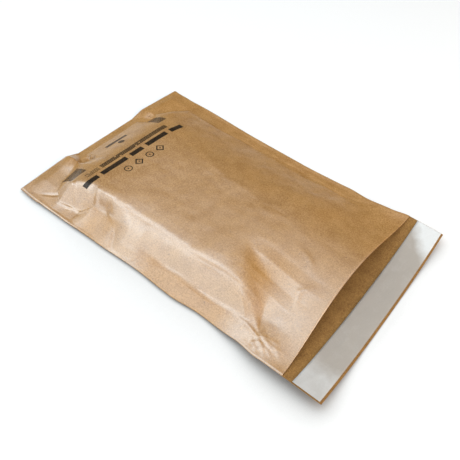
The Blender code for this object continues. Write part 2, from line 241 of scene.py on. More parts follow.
# Colours, as linear red, green and blue
KRAFT_DARK = (0.360, 0.168, 0.042, 1)
KRAFT_LIGHT = (0.585, 0.322, 0.118, 1)
INSIDE_DARK = (0.165, 0.072, 0.012, 1)
INSIDE_LIGHT = (0.400, 0.204, 0.055, 1)
SPECK_COLOUR = (0.120, 0.052, 0.016, 1)
INK_COLOUR = (0.006, 0.005, 0.004, 1)
LINER_END = (0.760, 0.755, 0.750, 1)
# The liner where the glue shows through, darkened further as a painted shadow of the raised mouth
LINER_GLUE_AND_SHADOW = (0.420, 0.370, 0.325, 1)
GLUE_DARK = (0.680, 0.620, 0.460, 1)
GLUE_LIGHT = (0.800, 0.760, 0.620, 1)
FLOOR_COLOUR = (0.865, 0.850, 0.845, 1)
BLACK = (0, 0, 0, 1)
WHITE = (1, 1, 1, 1)

# The paper's grain: sizes of its parts and their shares, and the spans in which values mostly lie
CLOUD_SIZE = 0.014
CLOUD_SHARE = 0.18
MOTTLE_SIZE = 0.0014
MOTTLE_SHARE = 0.42
FIBRES = [((0.35, 1, 1), 0.0009), ((1, 0.45, 1), 0.0010)]  # lengthwise and crosswise: scale, size
FIBRE_SHARE = 0.40
SPECK_SIZE = 0.0024
SPECK_SPAN = (0.82, 0.86)
NOISE_SPAN = (0.3, 0.7)
OUTSIDE_SPAN = (0.43, 0.63)
INSIDE_SPAN = (0.38, 0.62)
SPECKS_OUTSIDE = 0.55  # strength of the specks
SPECKS_INSIDE = 0.60
OUTSIDE_RELIEF = 0.00035  # depth of the grain
INSIDE_RELIEF = 0.0005
INSIDE_ROUGHNESS = 0.85
GLOSS_SPAN = (0.36, 0.66)  # the grain, and the roughness from its valleys to its tops
OUTSIDE_ROUGHNESS = (0.52, 0.40)
PAPER_SPECULAR = 0.1

# The paper's glaze, by place in the frame of the solids
GLAZE_ROUGHNESS = 0.27
GLAZE_IOR = 2.6
WORN_GLAZE = 0.45       # share of it that is left where it is worn
GLAZE_WAVE = 0.012      # how far the edges of the worn parts wander
GLAZE_ACROSS = (0.015, 0.070)  # y between which it wears off towards the far side
GLAZE_ALONG = (-0.155, -0.125)  # x between which it begins at the closed end
GLAZE_CORNER = (-0.075, -0.060)  # y between which the near corner's glaze ends
WORN_STRIPS = [  # worn parts of the near wing: x of both ends, and y of the upper edge
    (-0.112, -0.066, -0.0970), (-0.026, 0.082, -0.1035),
]
WORN_SOFTNESS = 0.0015  # of their upper edge, and of their ends
WORN_END_SOFTNESS = 0.012
WORN_SPOT = (0.080, -0.055)  # where it is worn beyond the fall towards the mouth
WORN_SPOT_REACH = 0.044
WORN_SPOT_GLAZE = 0.30

# The liner and the glue
LINER_CLOUD_SIZE = 0.012
LINER_CLOUD_SHARE = 0.6
LINER_FINE_SIZE = 0.0016
LINER_SPAN = (0.36, 0.64)
LINER_TONES = (-0.10, 0.08)  # change of its whiteness from its darkest to its lightest spots
LINER_ROUGHNESS = (0.46, 0.38)
WRINKLE_SCALE = (1, 0.35, 1)
WRINKLE_SIZE = 0.009
WRINKLE_FINE = 0.12  # share of the fine tone in the wrinkles
WRINKLE_DEPTH = 0.0008
STREAK_SCALE = (1, 0.08, 1)
STREAK_SIZE = 0.0012
STREAK_DEPTH = 0.0002
GLUE_ROUGHNESS = (0.22, 0.36)

# Where the glue shows through the liner, and where a shadow of the raised mouth is painted on it over
# the same part
GLUE_AND_SHADOW_NEAR_EDGE = -0.0920  # y of its near end
GLUE_AND_SHADOW_FAR_EDGE = 0.0790  # y of its far end, at the end of the flap
SHADOW_EDGE_LEAN = 1.2         # how far that edge leans, across the bag for each unit along it
GLUE_AND_SHADOW_SOFTNESS = 0.011
GLUE_AND_SHADOW_WAVE = 0.002       # how far its edges wander
# The near end of the liner is kept less white as painted shade
NEAR_END_SHADED_TONE = 0.50    # whiteness of the liner beyond the near end of the glue

# The print on the front panel: x is the distance from the closed end on the bag's middle line
PRINT_SLANT = 0.035      # how far its lines lean towards the mouth for each unit across
INK_EDGE = 0.00015       # softness of an inked edge
INK_GLAZE = 0.05         # share of the glaze that shows on ink
WORN_INK_SPAN = (0.42, 0.64)  # the grain between which the ink is worn
WORN_INK = 0.90
LINE_PITCH = 0.0021      # thin lines of the small print
PIECE_LENGTH = 0.00231   # length of the pieces that their breaks leave
HEADLINE_PLACE = 0.0680
HEADLINE_WIDTH = 0.0066
HEADLINE = [(-0.09, -0.071), (-0.066, -0.03), (-0.024, -0.006), (0, 0.032), (0.038, 0.058)]
# Blocks of thin lines: x, y, width along the bag, length across it, and the inked shares of a
# line's pitch and of its length
SMALL_PRINT = [
    (0.0575, -0.008, 0.0068, 0.1, 0.78, 0.94), (0.0575, -0.07, 0.0064, 0.018, 0.45, 0.9),
    (0.04, -0.081, 0.016, 0.022, 0.72, 1), (0.034, 0.049, 0.023, 0.014, 0.72, 1),
]
SIGN_PLACE = 0.0830
SIGN_LINE = 0.0012
RING_RADIUS = 0.00475
DIAMOND_REACH = 0.00589  # middle to tip, outside and inside
DIAMOND_HOLLOW = 0.0038
SIGN_DOT = 0.00096
SIGNS = [-0.042, -0.026, -0.010, 0.006]
MARK_PLACE = 0.0260
MARK_MIDDLE = -0.007
MARK_WIDTH = 0.0050
MARK_LENGTH = 0.032
MARK_DOT_PLACE = 0.0345
MARK_DOT = 0.004
MARK_INK = 0.85

# The photo's camera, in the frame of the solids
PHOTO_SIDE = 460  # pixels, both ways
FOCAL_PIXELS = 563.465
CAMERA_PLACE = Vector((0.225066, -0.348497, 0.452824))
CAMERA_RIGHT = Vector((0.78403081, 0.61548193, 0.08048409))
CAMERA_DOWN = Vector((0.5083023, -0.56219445, -0.65235433))
CAMERA_FORWARD = Vector((-0.35626459, 0.55237614, -0.75362865))
SENSOR = 36.0  # millimetres


# The surface of the bag, as arrays of points

def clamp(value):
    return np.clip(value, 0.0, 1.0)


def smooth(value):
    value = clamp(value)
    return value * value * (3 - 2 * value)


def blend(a, b, share):
    return a + (b - a) * share


def along(points, place, ease=clamp):
    """The value at a place on a line through given (place, value) points."""
    place = np.asarray(place, float)
    result = np.full(place.shape, float(points[0][1]))
    for (p0, v0), (p1, v1) in zip(points, points[1:]):
        result = np.where(place > p0, blend(v0, v1, ease((place - p0) / (p1 - p0))), result)
    return result


def along_lines(places, values, place):
    """As along, where the places and the values are arrays that differ from point to point."""
    result = values[0] + 0 * place
    for i in range(len(places) - 1):
        run = np.maximum(places[i + 1] - places[i], 1e-9)
        share = clamp((place - places[i]) / run)
        result = np.where(place > places[i], blend(values[i], values[i + 1], share), result)
    return result


def soft_min(values, soft):
    """The least of the values, rounded where two of them meet."""
    least = np.minimum.reduce(values)
    return least - soft * np.log(sum(np.exp((least - v) / soft) for v in values))


def near_fold(x):
    """Y of the near side fold, drawn in where the body is puffed up."""
    waves = [(0, 0), (0.06, -0.001), (0.18, 0), (0.32, 0.0018), (0.49, 0.0040), (0.62, 0.0026),
             (0.72, 0.0056), (0.84, 0.0040), (0.92, 0.0004), (1, 0)]
    return along(waves, x / PANEL_LENGTH, smooth) - HALF


def far_fold(x):
    waves = [(0, 0), (0.06, 0.0018), (0.15, 0.0006), (0.41, 0.0030), (0.60, 0.0028),
             (0.78, 0), (0.87, 0.0040), (0.94, 0.0034), (1, 0)]
    return HALF - along(waves, x / PANEL_LENGTH, smooth)


def across_share(x, y):
    """Place between the side folds, from -1 at the near one to 1 at the far one."""
    near, far = near_fold(x), far_fold(x)
    return np.clip(2 * (y - near) / (far - near) - 1, -1, 1)


def tuck_lines(x, y):
    """Foot and top of the facet that stands beside the low middle of the closed end."""
    tuck = np.where(y < 0, NEAR_TUCK, FAR_TUCK)
    depth = x / TUCK_DEPTH
    steep = np.where(depth < 1, depth, np.maximum(2 - depth, -1))
    return tuck + TUCK_WALL * TUCK_LEAN * steep, tuck + TUCK_WALL


def ear_height(x, y):
    """Rise of both panels beside the tucks at the closed end."""
    foot, top = tuck_lines(x, y)
    height = np.where(y < 0, NEAR_EAR, FAR_EAR)
    outer = blend(1, EAR_CORNER, clamp((abs(y) - top) / (HALF - top)))
    inner = clamp((abs(y) - foot) / (top - foot))
    return height * np.where(abs(y) >= top, outer, inner) * (1 - smooth(x / EAR_REACH))


def side_curl(x, across):
    """Rise of both panels towards the side folds."""
    to_mouth = smooth((x - PANEL_LENGTH + CURL_LENGTH) / CURL_LENGTH)
    low = SIDE_LIFT * smooth(x / EAR_REACH) * abs(across) ** SIDE_TIGHTNESS
    high = MOUTH_CURL * abs(across) ** CURL_TIGHTNESS
    return blend(low, high, to_mouth)


def floor_level(x):
    """Height of the inner face where its laps rest on the floor."""
    return PAPER * blend(3, 2, smooth((x - END_LAP) / END_LAP))


def back_height(x, y):
    """Inner face of the back panel and of the flap."""
    return floor_level(x) + ear_height(x, y) + side_curl(x, across_share(x, y))


def near_crease(x):
    """Inset from the near fold, and lift over the back, of the crease below the near flank."""
    insets = [(0.35, 1.0), (0.53, 0.54), (0.68, 0.66), (0.83, 0.74), (0.96, 1.10), (1.15, 1.18),
              (1.35, 0.86), (1.47, 0.54), (1.57, 0.40), (1.75, 0.40), (2.20, 0.78), (3.40, 0.76)]
    lifts = [(0.83, 0), (0.96, 1), (1.35, 0.95), (1.47, 0.6), (1.57, 0.5)]
    place = x / DIMPLE
    return NEAR_WING * along(insets, place), blend(WING_LIFT, DIMPLE_LIFT, along(lifts, place))


def wing_lift(x, y):
    """Height of the front panel over the back in the wings, carried on below the body."""
    inset, lift = near_crease(x)
    from_near = y - near_fold(x)
    from_far = far_fold(x) - y
    near = lift * clamp(from_near / inset)
    far = WING_LIFT * clamp(from_far / FAR_WING)
    wing = blend(near, far, smooth(y / HALF + 0.5)) * clamp(x / TONGUE)
    edge = np.minimum(np.minimum(x, from_near), from_far)
    return np.maximum(wing, FOLD_GAP * clamp(edge / FOLD_DEPTH))


def tuck_shift(y):
    """How much further from the closed end the foot of the corner's flank lies than the tuck."""
    slant = np.where(y < 0, NEAR_SLANT, FAR_SLANT)
    return slant * np.maximum(abs(y) - tuck_lines(TUCK_DEPTH, y)[1], 0)


def body_share(x, y):
    """Share of the body's full rise, from 0 at its foot to 1 on its top."""
    inset = near_crease(x)[0]
    corner = (x - TUCK_DEPTH - tuck_shift(y)) / CORNER_SLOPE
    steps = [
        (y - near_fold(x) - inset) / (NEAR_RIDGE - inset),
        (far_fold(x) - FAR_WING - y) / FAR_SLOPE,
        (x - TONGUE) / END_SLOPE,
        np.where(abs(y) > NEAR_TUCK, corner, ON_TOP),
    ]
    step = np.maximum(soft_min(steps, CORNER_BLEND), 0)
    return step / (1 + step ** BODY_TIGHTNESS) ** (1 / BODY_TIGHTNESS)


def fall_start(y):
    """Where the body starts to fall towards the mouth."""
    lines = [(-1, 0.58), (-0.82, 0.53), (-0.70, 0.70), (-0.52, 0.87), (-0.36, 0.94), (-0.26, 1.0),
             (0, 1.07), (0.5, 0.95), (1, 0.58)]
    return PANEL_LENGTH - FALL_REACH * along(lines, y / HALF)


def fall_end(y):
    """The crease where that fall ends at the near side."""
    lines = [(-1, 0.38), (-0.82, 0.38), (-0.64, 0.47), (-0.48, 0.56), (-0.36, 0.76), (-0.26, 0.91),
             (0, 1.0), (0.5, 0.80), (1, 0.38)]
    return PANEL_LENGTH - FALL_REACH * along(lines, y / HALF)


def mouth_share(x, y):
    """How far the section has turned from the puffed body to the open mouth."""
    start = fall_start(y)
    fall = clamp((x - start) / (fall_end(y) - start)) ** FALL_TIGHTNESS
    gentle = smooth((x - start) / (PANEL_LENGTH - start))
    return blend(gentle, fall, smooth((-y / HALF - FALL_FROM) / FALL_RUN))


def front_height(x, y):
    """Inner face of the front panel."""
    back = back_height(x, y)
    wing = back + wing_lift(x, y)
    body = wing + (BODY_HEIGHT - wing) * body_share(x, y)
    across = across_share(x, y)
    gap = FOLD_GAP * clamp((1 - abs(across)) * HALF / FOLD_DEPTH)
    swell = np.maximum(1 - across * across, 0) ** LENS_TIGHTNESS
    lens = back + gap + (MOUTH_HEIGHT - back - gap) * swell
    return blend(body, lens, mouth_share(x, y))


def back_point(place, column):
    """Points of the back panel or the flap, by distance from the closed end and column."""
    x = np.minimum(place, PANEL_LENGTH)
    across = column["end"] / HALF
    y = blend(near_fold(x), far_fold(x), (across + 1) / 2)
    setback = SIDE_SETBACK * across ** 2 * smooth(x / PANEL_LENGTH)
    z = floor_level(x) + ear_height(x, y) + side_curl(place, across)
    return np.stack([place - setback, y, z + 0 * y], axis=-1)


def front_x(place, y):
    """Bends a row of the front panel so that it follows the tucks and the fall to the mouth."""
    from_fold = np.minimum(y - near_fold(place), far_fold(place) - y) - FOLD_DEPTH
    fold_share = clamp(from_fold / (FAR_WING - FOLD_DEPTH))
    start, end = fall_start(HALF), fall_end(HALF)
    places = [0, TUCK_DEPTH, BODY_START, start, end, PANEL_LENGTH]
    bent = [0 * y, TUCK_DEPTH + tuck_shift(y) * fold_share, BODY_START + 0 * y, fall_start(y),
            fall_end(y), PANEL_LENGTH + 0 * y]
    return along_lines(places, bent, place + 0 * y)


def front_y(x, column):
    """Bends a column of the front panel so that it follows the tucks and the flanks."""
    near, far = near_fold(x), far_fold(x)
    far_run = FAR_WING + FAR_SLOPE
    places = [-HALF, NEAR_WING - HALF, NEAR_RIDGE - HALF, HALF - far_run, HALF]
    bent = [near, near + near_crease(x)[0], near + NEAR_RIDGE, far - far_run, far]
    body = along_lines(places, bent, column["body"] + 0 * x)
    before = blend(column["end"], column["tuck"], x / TUCK_DEPTH)
    after = blend(column["tuck"], body, smooth((x - TUCK_DEPTH) / TUCK_DEPTH))
    return np.where(x <= TUCK_DEPTH, before, after)


def front_point(place, column):
    """Points of the front panel's inner face."""
    y = front_y(place, column)
    x = front_x(place, y)
    y = front_y(x, column)
    across = across_share(x, y)
    swell = np.maximum(1 - across * across, 0) ** SETBACK_TIGHTNESS
    setback = blend(SIDE_SETBACK, MOUTH_SETBACK, swell) * smooth(x / PANEL_LENGTH)
    return np.stack([x - setback, y, front_height(x, y)], axis=-1)


# Creases and unevenness of the front panel

def nearest_on(line, x, y):
    """Distance to a line, whether a point is on its far side, and the line's value beside it."""
    best = np.full(x.shape, np.inf)
    turn = np.zeros(x.shape)
    value = np.zeros(x.shape)
    for (x0, y0, v0), (x1, y1, v1) in zip(line, line[1:]):
        run_x, run_y = x1 - x0, y1 - y0
        share = clamp(((x - x0) * run_x + (y - y0) * run_y) / (run_x ** 2 + run_y ** 2))
        off_x, off_y = x - x0 - share * run_x, y - y0 - share * run_y
        distance = np.hypot(off_x, off_y)
        nearer = distance < best
        best = np.where(nearer, distance, best)
        turn = np.where(nearer, run_x * off_y - run_y * off_x, turn)
        value = np.where(nearer, blend(v0, v1, share), value)
    return best, turn > 0, value


def crease_height(x, y):
    total = np.zeros(x.shape)
    for far_reach, near_reach, sharpness, line in CREASES:
        distance, is_far, height = nearest_on(np.array(line) / MILLIMETRES, x, y)
        reach = np.where(is_far, far_reach, near_reach) / MILLIMETRES
        total += height * (1 - clamp(distance / reach)) ** sharpness
    return total


def uneven(x, y, size, seed):
    """Smooth random waves of about the given size, from -1 to 1 and more."""
    grid = np.random.default_rng(seed).normal(size=(RANDOM_SIDE, RANDOM_SIDE))
    across, along_it = (x + 1) / size, (y + 1) / size
    i, j = np.floor(across).astype(int), np.floor(along_it).astype(int)
    u, v = smooth(across - i), smooth(along_it - j)
    i, j = i % (RANDOM_SIDE - 1), j % (RANDOM_SIDE - 1)
    before = blend(grid[i, j], grid[i + 1, j], u)
    after = blend(grid[i, j + 1], grid[i + 1, j + 1], u)
    return blend(before, after, v)


def spot(x, y, middle_x, middle_y, reach):
    """1 in the middle of a round place, fading to 0 at its edge."""
    return smooth(1 - np.hypot(x - middle_x, y - middle_y) / reach)


def near_ridge_share(x, y):
    """1 along the near ridge, fading to 0 beside it and at its ends."""
    aside = smooth(1 - abs(y - near_fold(x) - NEAR_RIDGE) / RIDGE_REACH)
    return aside * smooth((x - RIDGE_START) / RIDGE_REACH) * smooth((RIDGE_END - x) / RIDGE_REACH)


def unevenness(x, y):
    crushed = sum(spot(x, y, *place) for place in CRUSHED)
    crush = abs(uneven(x, y, CRUSH_SIZE, SEED)) + 0.5 * uneven(x, y, CRUSH_SIZE / 2, SEED + 1)
    return (COCKLE_HEIGHT * uneven(x, y, COCKLE_SIZE, SEED + 2)
            + RIPPLE_HEIGHT * uneven(x, y, RIPPLE_SIZE, SEED + 3)
            + CRUSH_HEIGHT * clamp(crushed) * crush)


def soften(heights, share, rounds):
    """Smooths the heights of a grid where the share is above 0."""
    for _ in range(rounds):
        wide = np.pad(heights, 1, mode="edge")
        mean = (wide[:-2, 1:-1] + wide[2:, 1:-1] + wide[1:-1, :-2] + wide[1:-1, 2:]) / 4
        heights = blend(heights, mean, share)
    return heights


def press_creases(points, places):
    """Adds the creases and the unevenness to the front panel, clear of the panel below it."""
    x, y = points[..., 0], points[..., 1]
    heights = soften(points[..., 2], near_ridge_share(x, y), RIDGE_SOFTENING)
    heights = soften(heights, spot(x, y, *FALL_SPOT, FALL_SPOT_REACH), FALL_SOFTENING)
    from_side = np.minimum(y - near_fold(x), far_fold(x) - y)
    edge = np.minimum(from_side, places) / EDGE_FADE
    fade = smooth(edge) * smooth((PANEL_LENGTH - places) / MOUTH_FADE)
    raised = heights + fade * (crease_height(x, y) + unevenness(x, y))
    lowest = back_height(x, y) + FOLD_GAP * clamp(np.minimum(from_side, places) / FOLD_DEPTH)
    points[..., 2] = np.maximum(raised, np.minimum(lowest, points[..., 2]))
    return points


# The fine mesh

def steps_between(stops, steps, multiple=1):
    """Counts of equal steps between stops, in multiples, none longer than the step given for it."""
    runs = np.abs(np.diff(np.asarray(stops), axis=0))
    if runs.ndim > 1:
        runs = runs.max(axis=1)
    return [multiple * max(1, math.ceil(run / step / multiple)) for run, step in zip(runs, steps)]


def fill_in(stops, counts):
    places = [blend(stops[i], stops[i + 1], step / count)
              for i, count in enumerate(counts) for step in range(count)]
    return np.array(places + [stops[-1]])


def row_places():
    """Distances from the closed end of the rows that cross the panels."""
    stops = [0, FOLD_DEPTH, TONGUE, TUCK_DEPTH, END_LAP, END_LAP + LAP_STEP, BODY_START,
             fall_start(HALF), fall_end(HALF), PANEL_LENGTH]
    steps = [CREASED_STEP] * 6 + [PLAIN_STEP] + [CREASED_STEP] * 2
    return fill_in(stops, steps_between(stops, steps, COARSE))


def column_places():
    """The columns that run along the panels, from the near fold to the far fold."""
    lap = SEAM_LAP / 2
    near_ridge = NEAR_RIDGE - HALF
    far_ridge = HALF - FAR_WING - FAR_SLOPE
    near_side = [-HALF, FOLD_DEPTH - HALF, NEAR_WING - HALF, near_ridge]
    far_side = [HALF - FAR_WING, HALF - FOLD_DEPTH, HALF]
    far_corner = blend(FAR_TUCK + TUCK_WALL, HALF - FAR_WING, CORNER_COLUMN)
    ends = near_side + [-NEAR_TUCK - TUCK_WALL, -NEAR_TUCK, -lap - LAP_STEP, -lap, lap,
                        lap + LAP_STEP, FAR_TUCK, FAR_TUCK + TUCK_WALL, far_corner] + far_side
    near_foot = -float(tuck_lines(TUCK_DEPTH, -1)[0])
    far_foot = float(tuck_lines(TUCK_DEPTH, 1)[0])
    middle = [blend(near_foot, far_foot, share) for share in TUCK_STOPS]
    tucks = ends[:5] + middle + ends[11:]
    bodies = near_side + list(np.linspace(near_ridge, far_ridge, 10)[1:]) + far_side
    stops = np.array([ends, tucks, bodies]).T
    steps = [NEAR_STEP] * 3 + [CREASED_STEP] + [PLAIN_STEP] * (len(stops) - 5)
    places = fill_in(stops, steps_between(stops, steps, COARSE))
    return {"end": places[:, 0], "tuck": places[:, 1], "body": places[:, 2]}


class Sheet:
    """Vertices, faces and sheet coordinates of one folded sheet, gathered panel by panel."""

    def __init__(self):
        self.points = []
        self.flat = []
        self.layers = []
        self.faces = []
        self.looks = []

    def add_grid(self, points, flat, layers, known):
        """Adds a grid of points, but for those already known, and returns their numbers."""
        numbers = np.array(known)
        for i in range(points.shape[0]):
            for j in range(points.shape[1]):
                if numbers[i, j] < 0:
                    numbers[i, j] = len(self.points)
                    self.points.append(points[i, j])
                    self.flat.append(flat[i, j])
                    self.layers.append(layers[i, j])
        return numbers

    def add_faces(self, grid, upward, look=0, jump=1):
        """Joins a grid with faces. With a jump, faces span so many rows and columns."""
        rows, columns = grid.shape
        for i in range(0, rows - 1, jump):
            for j in range(0, columns - 1, jump):
                a, b = i + jump, j + jump
                ring = [grid[i, j]]
                ring += list(grid[i + 1:a, j]) if j == 0 else []
                ring += [grid[a, j], grid[a, b]]
                ring += list(grid[i + 1:a, b][::-1]) if b == columns - 1 else []
                ring += [grid[i, b]]
                ring += list(grid[i, j + 1:b][::-1]) if i == 0 else []
                self.faces.append(ring if upward else ring[::-1])
                self.looks.append(look)

    def make_object(self, name):
        """The sheet as an object, with its coordinates in the UV map named sheet."""
        used = sorted({v for ring in self.faces for v in ring})
        renumbered = {v: i for i, v in enumerate(used)}
        points = np.array(self.points)[used] - [LENGTH / 2, 0, 0]
        mesh = bpy.data.meshes.new(name)
        mesh.from_pydata(points.tolist(), [], [[renumbered[v] for v in ring] for ring in self.faces])
        mesh.polygons.foreach_set("material_index", self.looks)
        corners = np.zeros(len(mesh.loops), int)
        mesh.loops.foreach_get("vertex_index", corners)
        coordinates = np.array(self.flat)[used][corners]
        mesh.uv_layers.new(name="sheet").data.foreach_set("uv", coordinates.ravel())
        piece = bpy.data.objects.new(name, mesh)
        bpy.context.scene.collection.objects.link(piece)
        layers = piece.vertex_groups.new(name="layers")
        shares = np.array(self.layers)[used]
        for share in np.unique(shares):
            layers.add(np.flatnonzero(shares == share).tolist(), float(share), "REPLACE")
        mesh.shade_smooth()
        return piece


def thicken(piece, thickness):
    """Gives an open sheet its wall, on the side that its faces look to."""
    wall = piece.modifiers.new("Wall", "SOLIDIFY")
    wall.thickness = thickness
    wall.offset = 1
    wall.use_even_offset = False
    wall.vertex_group = "layers"
    wall.thickness_vertex_group = 0
    wall.material_offset = 1
    wall.material_offset_rim = 1


def layer_shares(places, column):
    """Layers of paper in the back panel, as shares of three."""
    lap = abs(column["end"]) <= SEAM_LAP / 2 + LAP_STEP / 4
    shares = np.where(lap[None, :], 2 / 3, 1 / 3)
    return np.where(places[:, None] <= END_LAP, 1.0, shares)


def flat_places(places, end):
    """Sheet coordinates of a grid of rows and columns."""
    return np.stack(np.broadcast_arrays(places[:, None], end[None, :]), axis=-1)


def unknown(rows, columns):
    """Numbers of a grid of points of which none is known yet."""
    return -np.ones((len(rows), len(columns)), int)


def make_bag():
    """The folded sheet: two panels that share their side folds and closed end, and the flap."""
    sheet = Sheet()
    rows = row_places()
    column = column_places()
    flap_stops = [PANEL_LENGTH, LENGTH]
    flap_rows = fill_in(flap_stops, steps_between(flap_stops, [STRIP_STEP], COARSE))[1:]
    places = np.concatenate([rows, flap_rows])
    end = column["end"]
    back = sheet.add_grid(back_point(places[:, None], {"end": end[None, :]}),
                          flat_places(places, end), layer_shares(places, column),
                          unknown(places, end))
    sheet.add_faces(back, upward=False, look=BARE_SIDE, jump=COARSE)
    known = unknown(rows, end)
    known[0] = back[0]
    known[:, 0] = back[:len(rows), 0]
    known[:, -1] = back[:len(rows), -1]
    wide = {key: value[None, :] for key, value in column.items()}
    points = press_creases(front_point(rows[:, None], wide), rows[:, None])
    front = sheet.add_grid(points, points[..., :2], np.full(points.shape[:2], 1 / 3), known)
    sheet.add_faces(front, upward=True, look=PRINTED_SIDE)
    piece = sheet.make_object("bag_sheet")
    thicken(piece, 3 * PAPER)
    return piece


def make_strip(name, start, length, side, bottom, thickness):
    """A strip laid on the flap, at the height bottom above its paper."""
    sheet = Sheet()
    stops = [start, start + length]
    places = fill_in(stops, steps_between(stops, [STRIP_STEP]))
    end = column_places()["end"] * (1 - side / HALF)
    points = back_point(places[:, None], {"end": end[None, :]}) + [0, 0, bottom]
    grid = sheet.add_grid(points, flat_places(places, end), np.ones(points.shape[:2]),
                          unknown(places, end))
    sheet.add_faces(grid, upward=True)
    piece = sheet.make_object(name)
    thicken(piece, thickness)
    return piece


# Materials

class Tree:
    """Short calls that build the node tree of a material, or of the world."""

    def __init__(self, owner, shader="Principled BSDF"):
        owner.use_nodes = True
        self.owner = owner
        self.nodes = owner.node_tree.nodes
        self.shader = self.nodes[shader]

    def feed(self, socket, value):
        """Links a socket to another, or sets it."""
        if isinstance(value, bpy.types.NodeSocket):
            self.owner.node_tree.links.new(value, socket)
        else:
            socket.default_value = value

    def look(self, name, value):
        """Feeds one of the shader's own sockets."""
        self.feed(self.shader.inputs[name], value)

    def add(self, kind, inputs):
        """A new node, with its inputs fed."""
        node = self.nodes.new("ShaderNode" + kind)
        for name, value in inputs.items():
            self.feed(node.inputs[name], value)
        return node

    def maths(self, operation, first, second=0.0, limit=False):
        node = self.add("Math", {0: first, 1: second})
        node.operation = operation
        node.use_clamp = limit
        return node.outputs[0]

    def plus(self, first, second):
        return self.maths("ADD", first, second)

    def minus(self, first, second):
        return self.maths("SUBTRACT", first, second)

    def times(self, first, second):
        return self.maths("MULTIPLY", first, second)

    def apart(self, first, second):
        return self.maths("ABSOLUTE", self.minus(first, second))

    def distance(self, x, y, place):
        """Distance from a place, given as x and y."""
        away = self.maths("POWER", self.minus(x, place[0]), 2)
        aside = self.maths("POWER", self.minus(y, place[1]), 2)
        return self.maths("SQRT", self.plus(away, aside))

    def place(self):
        """Place in the piece, in metres."""
        return self.add("TexCoord", {}).outputs["Object"]

    def axes(self, vector):
        """The x, y and z of a vector."""
        return self.add("SeparateXYZ", {0: vector}).outputs

    def stretched(self, vector, scale):
        return self.add("Mapping", {"Vector": vector, "Scale": scale}).outputs["Vector"]

    def noise(self, vector, size, detail=2.0, roughness=0.5):
        """Smooth noise from 0 to 1 with features of about the given size."""
        inputs = {"Vector": vector, "Scale": 1 / size, "Detail": detail, "Roughness": roughness}
        return self.add("TexNoise", inputs).outputs["Fac"]

    def spread(self, value, low, high, to_low=0.0, to_high=1.0):
        """Carries the range low to high over to another range, and stays within it."""
        inputs = {"Value": value, "From Min": low, "From Max": high, "To Min": to_low,
                  "To Max": to_high}
        return self.add("MapRange", inputs).outputs["Result"]

    def mix(self, share, first, second):
        node = self.nodes.new("ShaderNodeMix")
        node.data_type = "RGBA"
        sockets = [s for s in node.inputs if s.enabled and s.name in ("Factor", "A", "B")]
        for socket, value in zip(sockets, (share, first, second)):
            self.feed(socket, value)
        return next(s for s in node.outputs if s.enabled)

    def bump(self, height, depth):
        node = self.add("Bump", {"Strength": 1, "Distance": depth, "Height": height})
        self.look("Normal", node.outputs["Normal"])


def paper_grain(tree):
    """Mottle and fibres of kraft paper, as one value about 0.5, and its dark specks."""
    place = tree.place()
    cloud = tree.noise(place, CLOUD_SIZE, 3)
    mottle = tree.noise(place, MOTTLE_SIZE, 3, 0.7)
    lengthwise, crosswise = [tree.noise(tree.stretched(place, scale), size, 2, 0.6)
                             for scale, size in FIBRES]
    fibres = tree.maths("MAXIMUM", lengthwise, crosswise)
    grain = tree.plus(tree.times(cloud, CLOUD_SHARE), tree.times(mottle, MOTTLE_SHARE))
    grain = tree.plus(grain, tree.times(fibres, FIBRE_SHARE))
    speck = tree.spread(tree.noise(place, SPECK_SIZE, 0), *SPECK_SPAN)
    return grain, speck


def glaze(tree):
    """Share of the paper's machine glaze that is left, place by place."""
    x, y, _ = tree.axes(tree.place())
    wave = tree.spread(tree.noise(tree.place(), COCKLE_SIZE, 2), *NOISE_SPAN, -GLAZE_WAVE, GLAZE_WAVE)
    across = tree.spread(tree.plus(y, wave), *GLAZE_ACROSS, 1, WORN_GLAZE)
    lengthwise = tree.spread(tree.plus(x, wave), *GLAZE_ALONG, WORN_GLAZE, 1)
    corner = tree.spread(y, *GLAZE_CORNER, 1, 0)
    share = tree.times(across, tree.maths("MAXIMUM", lengthwise, corner))
    distance = tree.distance(x, y, WORN_SPOT)
    share = tree.times(share, tree.spread(distance, 0, WORN_SPOT_REACH, WORN_SPOT_GLAZE, 1))
    for start, end, edge in WORN_STRIPS:
        below = tree.spread(y, edge - WORN_SOFTNESS, edge + WORN_SOFTNESS, 1, 0)
        reach = (end - start) / 2
        beside = tree.spread(tree.apart(x, (start + end) / 2), reach - WORN_END_SOFTNESS,
                             reach + WORN_END_SOFTNESS, 1, 0)
        worn = tree.times(below, beside)
        share = tree.maths("MINIMUM", share, tree.spread(worn, 0, 1, 1, WORN_GLAZE))
    return share


